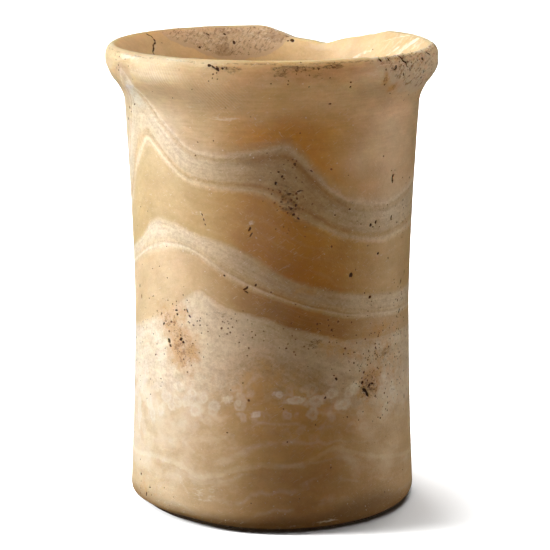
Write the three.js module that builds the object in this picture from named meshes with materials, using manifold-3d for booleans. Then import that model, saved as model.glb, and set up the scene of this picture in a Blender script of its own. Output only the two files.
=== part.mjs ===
// A carved alabaster jar: a tall cylinder with hollowed sides, a rounded foot, a thick lip that flares outwards and
// a drilled bore that opens in a trumpet at the mouth. A worn break has taken a bite out of the lip at the back.
// Millimetres, +Z up. The origin is the centre of the underside, and -Y is the jar's front.
import * as THREE from "three";
import { mergeVertices } from "three/addons/utils/BufferGeometryUtils.js";
import Module from "manifold-3d";

const wasm = await Module();
wasm.setup();

// The outside, from the foot up
const FOOT_RADIUS = 46.8;
const FOOT_ROUNDING = 4.5;
const WAIST_RADIUS = 44.85; // the slimmest place of the body
const WAIST_HEIGHT = 68;
const THROAT_RADIUS = 47.3; // the body just below the lip
const WAIST_TO_THROAT = 62.4;
const UNDERCUT_HEIGHT = 11; // the hollow slope from the throat out to the lip's face
const LIP_OVERHANG = 6.1; // how far the lip stands out past the throat
const LIP_FACE_HEIGHT = 4.9; // the upright band of the lip
const CREST_RISE = 3.7; // from the upright band up to the crest
const CREST_WIDTH = 2.9; // from the upright band in to the crest

// The inside, from the mouth down
const FLARE_DEPTH = 16; // depth of the trumpet below the crest
const THROAT_WALL = 7; // where the trumpet ends
const WAIST_WALL = 7;
const FOOT_WALL = 9.5;
const FLOOR_THICKNESS = 13;
const FLOOR_ROUNDING = 9;

// The break in the lip, measured at the crest
const BREAK_TURN = 24; // degrees from the back towards the right, where it bites deepest
const BREAK_DEPTH = 5.7;
const BREAK_LEFT_REACH = 26; // from the deepest place to where it begins
const BREAK_RIGHT_REACH = 26; // from the deepest place to where it runs out
const BREAK_FALL = 8; // degrees by which its floor falls outwards

// How the curves swell, as shares of their own reach
const BODY_EASE = 1.5;
const FLARE_EASE = { inward: 0.8, down: 0.35 };
const BREAK_EASE = { start: 0.25, startDown: 0.4, end: 0.45 };

// How finely the curves are divided
const SEGMENTS = 80;
const BODY_STEPS = 6;
const BORE_STEPS = 6;
const CURVE_STEPS = 5;

const throatHeight = WAIST_HEIGHT + WAIST_TO_THROAT;
const lipFaceLow = throatHeight + UNDERCUT_HEIGHT;
const lipFaceTop = lipFaceLow + LIP_FACE_HEIGHT;
const height = lipFaceTop + CREST_RISE;
const lipRadius = THROAT_RADIUS + LIP_OVERHANG;
const crestRadius = lipRadius - CREST_WIDTH;
const boreTopRadius = THROAT_RADIUS - THROAT_WALL;

// The side between two points (radius, height), drawn in to the waist, which is the first of them.
function bodySide(waist, end) {
  const points = [];
  for (let step = 1; step <= BODY_STEPS; step += 1) {
    const t = step / BODY_STEPS;
    points.push(new THREE.Vector2(
      THREE.MathUtils.lerp(waist.x, end.x, t ** BODY_EASE),
      THREE.MathUtils.lerp(waist.y, end.y, t),
    ));
  }
  return points;
}

// The outside, from the axis below to the crest.
function outerPoints() {
  const foot = new THREE.EllipseCurve(
    FOOT_RADIUS - FOOT_ROUNDING, FOOT_ROUNDING, FOOT_ROUNDING, FOOT_ROUNDING, -Math.PI / 2, 0,
  );
  const footTop = new THREE.Vector2(FOOT_RADIUS, FOOT_ROUNDING);
  const waist = new THREE.Vector2(WAIST_RADIUS, WAIST_HEIGHT);
  const throat = new THREE.Vector2(THROAT_RADIUS, throatHeight);
  const undercut = new THREE.QuadraticBezierCurve(
    throat,
    new THREE.Vector2(THROAT_RADIUS, throatHeight + UNDERCUT_HEIGHT / 2),
    new THREE.Vector2(lipRadius, lipFaceLow),
  );
  const crest = new THREE.EllipseCurve(crestRadius, lipFaceTop, CREST_WIDTH, CREST_RISE, 0, Math.PI / 2);
  return [
    new THREE.Vector2(0, 0),
    ...foot.getPoints(CURVE_STEPS),
    ...bodySide(waist, footTop).slice(0, -1).reverse(),
    waist,
    ...bodySide(waist, throat),
    ...undercut.getPoints(CURVE_STEPS).slice(1),
    ...crest.getPoints(CURVE_STEPS),
  ];
}

// The inside, from the crest to the axis above the floor.
function innerPoints() {
  const flare = new THREE.QuadraticBezierCurve(
    new THREE.Vector2(crestRadius, height),
    new THREE.Vector2(
      THREE.MathUtils.lerp(crestRadius, boreTopRadius, FLARE_EASE.inward),
      height - FLARE_DEPTH * FLARE_EASE.down,
    ),
    new THREE.Vector2(boreTopRadius, height - FLARE_DEPTH),
  );
  const boreLowRadius = FOOT_RADIUS - FOOT_WALL;
  const cornerTop = FLOOR_THICKNESS + FLOOR_ROUNDING;
  const bore = new THREE.SplineCurve([
    new THREE.Vector2(boreTopRadius, height - FLARE_DEPTH),
    new THREE.Vector2(WAIST_RADIUS - WAIST_WALL, WAIST_HEIGHT),
    new THREE.Vector2(boreLowRadius, cornerTop),
  ]);
  const corner = new THREE.EllipseCurve(
    boreLowRadius - FLOOR_ROUNDING, cornerTop, FLOOR_ROUNDING, FLOOR_ROUNDING, 0, -Math.PI / 2, true,
  );
  return [
    ...flare.getPoints(CURVE_STEPS).slice(1),
    ...bore.getPoints(BORE_STEPS).slice(1),
    ...corner.getPoints(CURVE_STEPS).slice(1),
    new THREE.Vector2(0, FLOOR_THICKNESS),
  ];
}

// The whole jar, turned about its axis and stood upright.
function turnedJar() {
  const geometry = new THREE.LatheGeometry([...outerPoints(), ...innerPoints()], SEGMENTS);
  return geometry.rotateX(Math.PI / 2);
}

// The stone that is gone: its outline across the lip at the crest, run out from the axis past the lip and turned to
// its place at the back. A curved side leads down to the deepest place and a straight one leads out of it.
function breakCutter() {
  const left = -BREAK_LEFT_REACH;
  const outline = new THREE.Shape();
  outline.moveTo(left * 2, BREAK_DEPTH);
  outline.lineTo(left, 0);
  outline.bezierCurveTo(
    left * (1 - BREAK_EASE.start), -BREAK_DEPTH * BREAK_EASE.startDown,
    left * BREAK_EASE.end, -BREAK_DEPTH,
    0, -BREAK_DEPTH,
  );
  outline.lineTo(BREAK_RIGHT_REACH * 2, BREAK_DEPTH);
  const geometry = new THREE.ExtrudeGeometry(outline, {
    depth: lipRadius * 2,
    steps: 1,
    bevelEnabled: false,
    curveSegments: CURVE_STEPS,
  });
  geometry.rotateX(Math.PI / 2);
  geometry.translate(0, lipRadius * 2 - crestRadius, 0);
  geometry.rotateX(-THREE.MathUtils.degToRad(BREAK_FALL));
  geometry.translate(0, crestRadius, height);
  return geometry.rotateZ(-THREE.MathUtils.degToRad(BREAK_TURN));
}

// A closed geometry as a solid that can be cut.
function solidOf(geometry) {
  geometry.deleteAttribute("normal");
  geometry.deleteAttribute("uv");
  const merged = mergeVertices(geometry);
  return new wasm.Manifold(new wasm.Mesh({
    numProp: 3,
    vertProperties: merged.attributes.position.array,
    triVerts: new Uint32Array(merged.index.array),
  }));
}

// A solid as a geometry again, flat-shaded.
function geometryOf(solid) {
  const mesh = solid.getMesh();
  const indexed = new THREE.BufferGeometry();
  indexed.setAttribute("position", new THREE.BufferAttribute(mesh.vertProperties, mesh.numProp));
  indexed.setIndex(new THREE.BufferAttribute(mesh.triVerts, 1));
  const geometry = indexed.toNonIndexed();
  geometry.computeVertexNormals();
  return geometry;
}

const travertine = new THREE.MeshStandardMaterial({ color: 0xd2b48a, roughness: 0.5, metalness: 0 });

const jar = new THREE.Mesh(geometryOf(solidOf(turnedJar()).subtract(solidOf(breakCutter()))), travertine);
jar.name = "alabaster_jar";

const part = new THREE.Group();
part.add(jar);
export default part;
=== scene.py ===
import math

import bmesh
import bpy
import numpy as np
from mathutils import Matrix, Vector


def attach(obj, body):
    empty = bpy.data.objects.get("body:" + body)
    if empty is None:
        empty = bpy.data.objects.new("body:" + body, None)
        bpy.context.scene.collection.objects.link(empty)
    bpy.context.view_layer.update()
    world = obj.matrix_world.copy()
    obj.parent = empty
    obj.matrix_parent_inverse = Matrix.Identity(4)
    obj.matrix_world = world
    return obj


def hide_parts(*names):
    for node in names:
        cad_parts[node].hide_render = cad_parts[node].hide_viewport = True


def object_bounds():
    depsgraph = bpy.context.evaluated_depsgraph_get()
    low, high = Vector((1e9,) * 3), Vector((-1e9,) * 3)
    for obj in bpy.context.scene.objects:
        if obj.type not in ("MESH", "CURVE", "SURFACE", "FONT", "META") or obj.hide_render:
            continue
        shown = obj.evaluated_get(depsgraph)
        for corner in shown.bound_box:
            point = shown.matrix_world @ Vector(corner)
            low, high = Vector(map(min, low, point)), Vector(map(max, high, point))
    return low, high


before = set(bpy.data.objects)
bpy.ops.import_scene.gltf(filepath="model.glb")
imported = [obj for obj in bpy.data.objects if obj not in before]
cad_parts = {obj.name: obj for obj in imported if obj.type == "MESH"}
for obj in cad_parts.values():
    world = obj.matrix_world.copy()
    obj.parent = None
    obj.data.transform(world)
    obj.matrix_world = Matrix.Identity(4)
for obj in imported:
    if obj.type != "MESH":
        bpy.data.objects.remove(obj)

cad_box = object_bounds()

# The jar's sizes in millimetres, as the part has them
MM = 0.001
NODE = "alabaster_jar"
LIP_RADIUS = cad_box[1][0] / MM
HEIGHT = cad_box[1][2] / MM
FOOT_RADIUS = 46.8
FOOT_ROUNDING = 4.5
WAIST_RADIUS = 44.85
WAIST_HEIGHT = 68.0
THROAT_RADIUS = 47.3
THROAT_HEIGHT = 130.4
UNDERCUT_HEIGHT = 11.0
LIP_FACE_HEIGHT = 4.9
CREST_RISE = 3.7
CREST_WIDTH = 2.9
FLARE_DEPTH = 16.0
THROAT_WALL = 7.0
WAIST_WALL = 7.0
FOOT_WALL = 9.5
FLOOR_THICKNESS = 13.0
FLOOR_ROUNDING = 9.0
BODY_EASE = 1.5
FLARE_INWARD = 0.8
FLARE_DOWN = 0.35
CREST_RADIUS = LIP_RADIUS - CREST_WIDTH
BORE_TOP_RADIUS = THROAT_RADIUS - THROAT_WALL

# The break in the lip, measured at the crest
BREAK_TURN = 24.0
BREAK_DEPTH = 5.7
BREAK_LEFT_REACH = 26.0
BREAK_RIGHT_REACH = 26.0
BREAK_FALL = 8.0

# What the break's floor has besides, along the lip: place, half width and rise, in mm
BREAK_RELIEF = ((-13.3, 3.5, -0.30), (-1.2, 2.2, -0.50), (7.5, 4.0, 0.22), (16.6, 0.9, -0.45))

# How far the corner under the lip is worn round
LIP_CORNER_WEAR = 2.4

# How much of the foot's edge is worn away: (azimuth, depth in mm)
FOOT_WEAR = (
    (-180, 0.15), (-110, 0.2), (-75, 0.7), (-58, 1.15), (-42, 1.3), (-28, 1.0), (-14, 0.45), (0, 0.2),
    (40, 0.1), (120, 0.25),
)
FOOT_WEAR_SLOPE = 55  # degrees that the worn edge faces down

# Facets rubbed on the lip: azimuth, height, half width, half height, depth, tilt downwards in degrees
FACETS = (
    (-62, 142.5, 6.5, 6.5, 1.0, 18), (-84, 142, 8, 4, 0.5, 25), (44, 147.5, 8, 2.6, 0.35, -20),
    (-14, 147, 8, 2.6, 0.3, -10),
)

# How finely the jar is divided, in steps round it and in millimetres up its outside and its bore
SEGMENTS = 380
OUTSIDE_STEP = 1.12
BORE_STEP = 3.2

# Where the strata of the stone come out on the jar's skin: (azimuth in degrees from the front, height in mm).
# Each line runs right round the jar, and the number of a layer counts down from the rim.
STRATA = (
    # the lower side of the rough bed, which reaches the outside only at the back of the lip
    ((-180, 139), (-150, 137), (-130, 143), (-112, 151), (-90, 154), (0, 154), (98, 154), (114, 150),
     (135, 144), (165, 140)),
    # the upper side of the first white band, which climbs to the rim at the left
    ((-64, 146), (-56, 138), (-50, 132.5), (-45, 129), (-40, 125.6), (-35, 122.3), (-30, 120.6), (-20, 120),
     (-10, 121), (0, 122.9), (4.5, 124.2), (7, 123.4), (11, 120), (16, 115), (20, 112), (25, 108),
     (30, 105.6), (40, 103.7), (52, 102.9), (62, 104), (75, 107), (130, 112), (175, 119), (-150, 122),
     (-115, 117), (-88, 113), (-76, 118), (-70, 131)),
    # the thin white line under it
    ((-56, 122.5), (-49, 118.7), (-45, 116), (-40, 113), (-35, 111), (-30, 110), (-20, 109.4), (-10, 109.2),
     (-2, 108), (4, 104.5), (10, 100.6), (15, 99), (20, 97), (25, 95), (30, 93.5), (40, 91.5), (50, 90.6),
     (75, 92), (110, 96), (150, 102), (-170, 106), (-130, 103), (-100, 96), (-82, 96), (-74, 101.5),
     (-68, 110.5)),
    # the upper side of the second white band
    ((-67, 89), (-62, 92), (-58, 95.5), (-53, 97.6), (-47, 98), (-40, 97), (-30, 94.4), (-20, 93),
     (-15, 91.6), (-10, 89.6), (-5, 87), (0, 84.2), (5, 82), (10, 80), (20, 77.8), (30, 76), (40, 74.4),
     (60, 72.7), (90, 72), (130, 76), (175, 83), (-140, 85), (-100, 83), (-80, 85)),
    # the thin white line inside it
    ((-64, 84.5), (-47, 88.8), (-38, 89.3), (-32, 88.5), (-27, 86), (-22, 83.5), (-17, 81), (-12, 79.2),
     (-7, 77.5), (-2, 76), (3, 74.8), (8, 73.4), (13, 72), (18, 70.9), (23, 69.6), (30, 68), (40, 67),
     (60, 65.2), (90, 64.5), (130, 67), (180, 73), (-130, 74), (-90, 75)),
    # the upper side of the broad pitted band
    ((-77, 59.5), (-70, 61), (-60, 63.7), (-52, 66), (-45, 69.4), (-40, 72), (-35, 75), (-30.6, 77.8),
     (-25, 75), (-20, 72.7), (-15, 71.6), (-10, 71), (0, 69), (5, 67), (15, 65), (20, 63.7), (30, 61),
     (50, 60), (90, 59), (130, 56), (180, 58), (-130, 57), (-95, 57.5)),
    # its ragged lower side
    ((-80, 40), (-60, 44), (-45, 44), (-30, 46), (-20, 45), (-12, 50), (-6, 54), (0, 53.5), (6, 49), (12, 47),
     (20, 43), (30, 41), (50, 38), (75, 35), (100, 36), (150, 40), (180, 42), (-130, 42)),
    # a faint wavy line above the foot
    ((-75, 17), (-55, 20), (-40, 20), (-30, 16.5), (-20, 19), (-12, 21.5), (-4, 22.5), (5, 22), (13, 22.6),
     (20, 25.8), (24, 27.2), (28, 27), (35, 24.3), (42, 22.6), (50, 20.5), (75, 17), (120, 20), (180, 23),
     (-120, 20)),
)
STRATA_ROUNDING = 1.6  # degrees over which the corners of the lines above are rounded
ABOVE_RIM = 8.0  # where the topmost layer begins, above the rim in mm
BELOW_FOOT = -3.0  # where the lowest ends

# Down the mouth the lines turn, in degrees, and drop, in mm, over a depth in mm.
MOUTH_TURN = 7.0
MOUTH_DROP = 4.0
MOUTH_DEPTH = 15.0

# The rough bed inside the mouth has a line of its own, so the layers there start under it.
TOP_LAYER_INSIDE = 1.15

# How deep in colour the stone looks at each azimuth, 0 pale and 1 deep honey: partly the stone's own deeper
# honey, partly painted shade on the side away from the key light
DEPTH_OF_COLOUR_AND_SHADE = (
    (-90, 0), (-60, 0), (-45, 0.08), (-36, 0.2), (-25, 0.36), (-14, 0.7), (-7, 0.96), (4, 1.05), (16, 1),
    (25, 0.86), (34, 0.58), (48, 0.42), (60, 0.36), (90, 0.3), (140, 0.45), (180, 0.4), (-150, 0.3),
    (-120, 0.1),
)

# Inside the mouth the rough bed hangs down at the back left, with its lower side along this line.
INNER_BED = (
    (-153, 140), (-148.5, 141), (-144.5, 142.8), (-139, 144.4), (-134, 146), (-132, 148), (-130, 150),
    (-118, 153), (0, 153), (120, 153), (160, 150), (170, 147), (174, 144.5), (178, 142), (-179, 140.6),
    (-165, 138.5),
)

# The crack down the inside of the mouth
CRACK = (
    (-123.6, 149.6), (-124.9, 148.5), (-125.0, 147.4), (-124.3, 146.6), (-121.7, 145.9), (-120.6, 144.9),
    (-118.4, 143.9), (-118.6, 142.2), (-117.2, 140.4),
)

# The grey pitted stone at the right of the lip
RIM_PATCH = (
    (34, 151), (36.5, 147.2), (37.5, 145.7), (41, 144.2), (44, 141), (48, 139.4), (51, 137.4), (56, 137.6),
    (62, 136.2), (70, 136.4), (80, 137), (95, 139), (105, 145), (108, 156), (70, 158), (33, 156),
)

# Pits and slits: azimuth, height, half length, half width, turn of the length in degrees, depth
PITS = (
    (-20.8, 148.4, 0.6, 0.4, -20, 0.5), (-19.3, 147.9, 0.8, 0.35, -35, 0.5),
    (-17.8, 147.3, 0.7, 0.4, -50, 0.5), (-16.2, 147.6, 0.4, 0.3, 0, 0.3), (39.0, 149.0, 0.6, 0.4, -50, 0.5),
    (42.8, 149.2, 0.9, 0.2, -60, 0.4), (48.9, 149.4, 0.7, 0.3, -35, 0.5), (49.8, 148.0, 1.1, 0.42, -58, 0.8),
    (51.0, 146.7, 0.9, 0.36, -75, 0.7), (45.6, 146.4, 0.55, 0.3, 65, 0.5), (45.1, 145.6, 0.7, 0.25, 20, 0.4),
    (49.5, 143.6, 0.7, 0.25, -60, 0.3), (53.0, 144.6, 0.9, 0.22, 85, 0.4), (53.1, 142.6, 0.55, 0.4, -60, 0.6),
    (61.5, 147.4, 0.7, 0.4, -35, 0.5), (68.5, 148.3, 1.4, 0.3, -50, 0.5), (63.4, 145.2, 0.9, 0.3, 85, 0.5),
    (63.0, 143.3, 0.7, 0.35, 85, 0.5), (26.5, 143.0, 0.35, 0.3, 0, 0.3), (26.5, 141.4, 0.3, 0.3, 0, 0.3),
    (21.0, 136.0, 0.45, 0.35, 0, 0.2), (-71.5, 130.6, 0.6, 0.55, 0, 0.4), (-70.0, 129.6, 0.4, 0.3, 0, 0.3),
    (-76.0, 126.6, 0.5, 0.4, 0, 0.3), (-65.0, 132.4, 0.5, 0.25, 20, 0.3), (54.8, 109.8, 1.25, 0.4, -83, 0.8),
    (55.2, 110.9, 0.5, 0.3, -60, 0.4), (33.0, 81.6, 0.7, 0.6, 80, 0.7), (47.2, 87.0, 0.45, 0.4, 0, 0.4),
    (66.2, 75.2, 1.0, 0.35, 60, 0.5), (70.5, 77.6, 0.9, 0.3, 70, 0.4), (65.0, 65.8, 0.9, 0.4, 55, 0.5),
    (-10.4, 78.8, 0.9, 0.35, 35, 0.4), (-10.0, 77.6, 0.5, 0.3, -20, 0.3), (-6.4, 80.0, 0.5, 0.35, 60, 0.4),
    (-19.0, 82.5, 0.35, 0.3, 0, 0.3), (-28.0, 101.2, 0.45, 0.2, -65, 0.3), (-27.4, 99.6, 0.5, 0.2, -65, 0.3),
    (-26.8, 98.2, 0.4, 0.2, -65, 0.3), (-8.6, 97.6, 0.8, 0.3, 70, 0.5), (-8.0, 95.8, 0.9, 0.22, 60, 0.4),
    (-46.2, 59.0, 0.8, 0.5, -60, 0.5), (-45.4, 57.6, 0.6, 0.4, -40, 0.3), (-49.5, 64.0, 0.5, 0.4, 40, 0.4),
    (-39.5, 60.4, 0.8, 0.45, 30, 0.4), (-38.2, 59.6, 0.5, 0.4, 0, 0.3), (-36.2, 69.8, 0.7, 0.3, -60, 0.5),
    (-35.0, 68.2, 0.5, 0.35, -40, 0.4), (-42.0, 69.4, 0.5, 0.35, 0, 0.3), (-41.4, 68.2, 0.4, 0.3, 0, 0.3),
    (40.2, 43.8, 1.2, 0.5, -35, 0.8), (41.6, 42.4, 1.1, 0.45, -60, 0.8), (42.6, 45.0, 0.6, 0.4, 50, 0.5),
    (39.0, 46.4, 0.6, 0.4, 20, 0.4), (44.4, 45.4, 0.5, 0.3, 20, 0.4), (26.4, 49.0, 0.6, 0.35, -60, 0.4),
    (25.4, 50.2, 0.35, 0.25, 0, 0.3), (21.4, 43.4, 0.45, 0.3, 60, 0.3), (70.5, 36.6, 0.8, 0.35, 80, 0.4),
    (-60.8, 5.8, 0.8, 0.35, 80, 0.5), (-58.0, 8.6, 0.45, 0.3, 0, 0.3), (-66.5, 11.2, 0.5, 0.4, 40, 0.3),
    (-69.0, 69.8, 0.8, 0.3, 75, 0.4), (-71.0, 73.0, 0.7, 0.3, 60, 0.3), (8.5, 118.0, 0.5, 0.3, 40, 0.3),
    (15.0, 115.5, 0.6, 0.25, -30, 0.3), (2.5, 115.5, 0.4, 0.3, 0, 0.3), (4.0, 114.0, 0.5, 0.35, 30, 0.3),
    (1.5, 112.0, 0.6, 0.35, 60, 0.4), (10.5, 109.4, 1.1, 0.25, 8, 0.4), (6.5, 108.6, 0.8, 0.25, -10, 0.4),
    (9.0, 105.0, 0.5, 0.35, 70, 0.4), (7.3, 104.0, 0.45, 0.35, 0, 0.3), (8.2, 102.2, 0.5, 0.35, 20, 0.4),
    (10.2, 100.8, 0.5, 0.25, -40, 0.3), (25.0, 101.2, 0.35, 0.3, 0, 0.3), (31.5, 102.6, 0.35, 0.3, 0, 0.3),
    (45.2, 97.2, 0.6, 0.35, 60, 0.4), (42.2, 96.6, 0.6, 0.4, 30, 0.4), (43.6, 95.8, 0.4, 0.3, 0, 0.3),
    (55.2, 97.4, 0.9, 0.3, 85, 0.4), (43.0, 73.4, 0.55, 0.45, 20, 0.5), (40.0, 75.0, 0.35, 0.3, 0, 0.3),
)

# Pits in the rough bed inside the mouth, in the same terms
INNER_PITS = (
    (171.3, 145.2, 0.7, 0.45, 10, 0.5), (173.0, 145.0, 0.4, 0.2, 0, 0.3), (-146.8, 143.6, 0.45, 0.3, 0, 0.3),
    (-163.4, 144.6, 0.6, 0.4, 80, 0.3), (-160.2, 147.4, 0.45, 0.3, 20, 0.3),
    (-152.8, 147.6, 0.7, 0.3, 30, 0.3),
)

# White globules in the clear stone under the pitted band: azimuth, height, half width, half height
GLOBULES = (
    (-70.5, 31.0, 1.9, 5.0), (-65.5, 40.0, 1.9, 3.0), (-60.5, 37.4, 1.8, 3.0), (-57.0, 33.0, 1.6, 2.4),
    (-63.5, 46.0, 1.8, 2.6), (-51.0, 35.6, 1.7, 1.6), (-47.5, 40.6, 2.3, 1.7), (-44.5, 38.0, 1.6, 1.3),
    (-36.5, 40.6, 1.9, 1.7), (-32.0, 38.4, 2.4, 2.2), (-33.5, 43.6, 1.8, 1.3), (-28.0, 42.6, 1.5, 1.2),
    (-23.4, 40.8, 1.9, 1.5), (-18.0, 43.2, 1.6, 1.3), (-40.5, 45.0, 2.0, 1.4), (-13.0, 42.4, 1.2, 1.0),
    (-6.5, 38.8, 1.4, 1.0), (2.5, 45.4, 1.9, 1.2), (10.0, 43.4, 2.6, 1.2), (17.5, 42.6, 2.8, 1.4),
    (24.6, 44.4, 2.0, 1.4), (29.5, 40.6, 2.6, 1.6), (35.0, 45.4, 2.6, 1.9), (45.5, 43.4, 2.4, 1.6),
    (51.5, 46.4, 2.0, 1.4), (58.0, 41.0, 1.8, 1.4), (115.0, 38.0, 2.6, 1.9), (133.0, 42.0, 2.0, 1.5),
    (150.0, 41.0, 2.7, 1.8), (-160.0, 41.0, 2.4, 1.8), (-138.0, 39.0, 2.0, 1.6), (-120.0, 40.0, 2.6, 2.0),
    (-90.0, 36.0, 2.0, 2.6),
)

# Fine pale veins: whether inside the mouth, half width in mm, and the line as (azimuth, height)
VEINS = (
    (True, 0.22, ((127.6, 146.7), (123.5, 147.8), (118.5, 148.9), (114.0, 149.6))),
    (True, 1.0, ((112.4, 143.4), (110.6, 145.2), (108.4, 146.8), (106.1, 148.8))),
    (True, 0.5, ((120.0, 142.6), (117.0, 144.4), (114.6, 146.0))),
    (True, 0.5, ((140.0, 140.4), (136.0, 142.4), (131.5, 143.6))),
    (False, 0.2, ((36.5, 147.0), (41.0, 147.6), (45.0, 147.0), (50.0, 147.5))),
)

# Soft marks on the outside: strength, azimuth, height, half width, half height
MARKS = {
    "dirt": (
        (1.3, 7.0, 147.8, 8, 1.2), (1.1, 21, 148.0, 4, 1.1), (1.1, -15, 147.6, 5, 0.9),
        (0.8, 2.5, 145.6, 5, 1.3), (0.7, 15, 145.4, 4, 1.4), (0.6, -13, 146.2, 6, 1.8),
        (0.5, 17, 137.4, 5, 1.8), (0.5, -1, 140.8, 7, 1.2), (0.45, -52, 145, 9, 4),
        (0.7, 4.5, 110.5, 4.5, 6.5), (0.6, 8.5, 104.5, 4.5, 4.0), (0.6, -4.0, 113.5, 4, 3.0),
        (0.5, 14, 99, 4, 3), (0.7, -20, 70, 9, 4), (0.45, 5, 60, 12, 5), (0.7, 18, 61, 4, 2.5),
        (0.5, 36, 58, 7, 4), (0.7, 30.5, 47, 3, 2), (0.5, 53, 55, 4, 4), (0.8, 42, 44.5, 4.5, 3.5),
        (0.45, 50, 49, 8, 6), (0.4, 62, 55, 5, 12), (0.5, 66, 98, 4, 10), (0.6, 46, 97, 8, 2.5),
        (0.55, 62, 144, 9, 5), (0.5, 2, 96, 9, 7), (0.4, 25, 36, 14, 5), (0.5, 48, 8, 9, 6),
        (0.5, 150, 90, 25, 20), (0.5, -120, 60, 20, 14), (0.6, 178, 141, 22, 6), (0.4, 110, 30, 20, 10),
    ),
    "rust": (
        (1.0, -38, 57, 7.5, 9), (0.7, -47, 66, 5, 5), (0.5, -38, 70, 4, 3), (0.7, 44, 45, 6, 7),
        (0.6, 33, 57.5, 7, 4), (0.5, 51, 54, 8, 8), (0.5, 62, 47, 5, 8), (0.6, 23, 60, 5, 3),
        (0.6, 12, 78, 5, 2), (0.6, 16, 71, 4, 2), (0.9, 40.5, 143.2, 2.4, 2.6), (0.9, 46.5, 139.8, 3.4, 1.8),
        (0.6, 60, 146, 3.0, 2.2), (0.7, 41, 44, 4, 3.5), (0.5, -10.4, 78.2, 2.4, 2.0), (0.5, 50, 62, 9, 3),
        (0.5, 170, 130, 15, 8), (0.4, -62, 8, 8, 4),
    ),
    "chalk_and_highlight": (
        # Chalky wear; the two thin lines along the crest at the left are partly worn edge, partly painted
        # highlight
        (1.1, -61, 136.5, 5, 6), (0.8, -56, 148.6, 8, 1.4), (0.8, -35, 149.2, 10, 1.0),
        (0.55, -13, 146.4, 6, 2.2), (0.5, -62, 148, 3, 1.5), (0.8, 22, 3.6, 7, 1.2), (0.7, 9, 2.4, 4, 1.0),
        (0.5, 52, 10, 5, 5), (0.5, 66, 22, 2.4, 10), (0.6, -53, 133, 2.4, 2), (0.5, 66, 100, 3, 8),
        (0.4, 160, 20, 18, 6),
    ),
    "veil": (
        (1.0, -18, 131.6, 8, 0.9), (0.7, -31, 134.5, 4, 1.4), (0.7, -35, 128.6, 3, 1.2),
        (0.5, -27, 125, 2, 2), (0.8, -30, 101.5, 5, 1.6), (0.7, -26, 97, 4, 1.5), (0.8, -8, 99.4, 2.4, 1.6),
        (0.6, 6, 135, 9, 1.2), (0.6, -50, 105, 3, 4), (0.5, 30, 132, 8, 2), (0.6, -46, 25, 9, 6),
        (0.7, -28, 12, 11, 5), (0.5, 32, 12, 8, 6), (0.4, 4, 14, 7, 4), (0.8, 36, 145, 7, 3),
        (0.6, 22, 141, 8, 1.2),
    ),
    "pitted": (
        (1.2, 45, 53, 14, 8), (1.0, 57, 49, 9, 12), (0.8, -41, 64, 9, 8), (0.6, -14, 66, 16, 6),
        (1.0, 5, 110, 6, 8), (1.0, 10, 102, 5, 6), (0.8, 47, 97, 9, 3), (0.8, 68, 97, 4, 8),
        (0.8, 56, 144, 11, 6), (0.6, 8, 146.5, 14, 2.5), (0.7, -14, 146.5, 7, 2.5), (0.6, 47, 71, 7, 3),
        (0.5, 66, 66, 5, 16), (0.5, 12, 63, 12, 5), (0.4, -62, 60, 8, 16), (0.6, -66, 146, 8, 4),
        (0.4, 180, 60, 40, 25), (0.5, 180, 144, 30, 5), (0.5, -56, 8, 9, 5),
    ),
    "hatch": ((1.0, -40, 143.5, 8, 3.2), (0.6, -20, 139, 8, 4)),
}


def arc(centre, reach, start, end, steps):
    """Points of an ellipse's arc about (radius, height), from just past its start to its end, in degrees."""
    turn = np.radians(np.linspace(start, end, steps + 1)[1:])
    return list(zip(centre[0] + reach[0] * np.cos(turn), centre[1] + reach[1] * np.sin(turn)))


def swell(start, knee, end, steps):
    """Points of a curve that leaves start towards knee and comes into end from it."""
    t = np.linspace(0, 1, steps + 1)[1:, None]
    curve = (1 - t) ** 2 * np.array(start) + 2 * t * (1 - t) * np.array(knee) + t ** 2 * np.array(end)
    return [tuple(point) for point in curve]


def straight(start, end, steps):
    """Points of a straight line, from just past its start to its end."""
    t = np.linspace(0, 1, steps + 1)[1:, None]
    return [tuple(point) for point in (1 - t) * np.array(start) + t * np.array(end)]


def body_side(low, high):
    """Points of the side between two heights, drawn in to the waist."""
    points = []
    for height in np.linspace(low, high, round((high - low) / OUTSIDE_STEP) + 1)[1:]:
        if height < WAIST_HEIGHT:
            share, end = (WAIST_HEIGHT - height) / (WAIST_HEIGHT - FOOT_ROUNDING), FOOT_RADIUS
        else:
            share, end = (height - WAIST_HEIGHT) / (THROAT_HEIGHT - WAIST_HEIGHT), THROAT_RADIUS
        points.append((WAIST_RADIUS + (end - WAIST_RADIUS) * share ** BODY_EASE, height))
    return points


def lip_side():
    """Points from the throat along the undercut, round the worn corner under the lip and up to the crest."""
    corner = (LIP_RADIUS, THROAT_HEIGHT + UNDERCUT_HEIGHT)
    face_top = (LIP_RADIUS, corner[1] + LIP_FACE_HEIGHT)
    knee = (THROAT_RADIUS, THROAT_HEIGHT + UNDERCUT_HEIGHT / 2)
    undercut = swell((THROAT_RADIUS, THROAT_HEIGHT), knee, corner, 16)[:11]
    rounded = swell(undercut[-1], corner, (LIP_RADIUS, corner[1] + LIP_CORNER_WEAR), 7)
    face = straight(rounded[-1], face_top, 3)
    return undercut + rounded + face + arc((CREST_RADIUS, face_top[1]), (CREST_WIDTH, CREST_RISE), 0, 90, 10)


def bore_side():
    """Points down the bore, from the end of the trumpet to the corner above the floor."""
    corner_top = FLOOR_THICKNESS + FLOOR_ROUNDING
    trumpet_end = HEIGHT - FLARE_DEPTH
    heights = (corner_top, WAIST_HEIGHT, trumpet_end)
    radii = (FOOT_RADIUS - FOOT_WALL, WAIST_RADIUS - WAIST_WALL, BORE_TOP_RADIUS)
    bend = np.polyfit(heights, radii, 2)
    steps = round((trumpet_end - corner_top) / BORE_STEP)
    rows = np.linspace(trumpet_end, corner_top, steps + 1)[1:]
    return [(np.polyval(bend, height), height) for height in rows]


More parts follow.
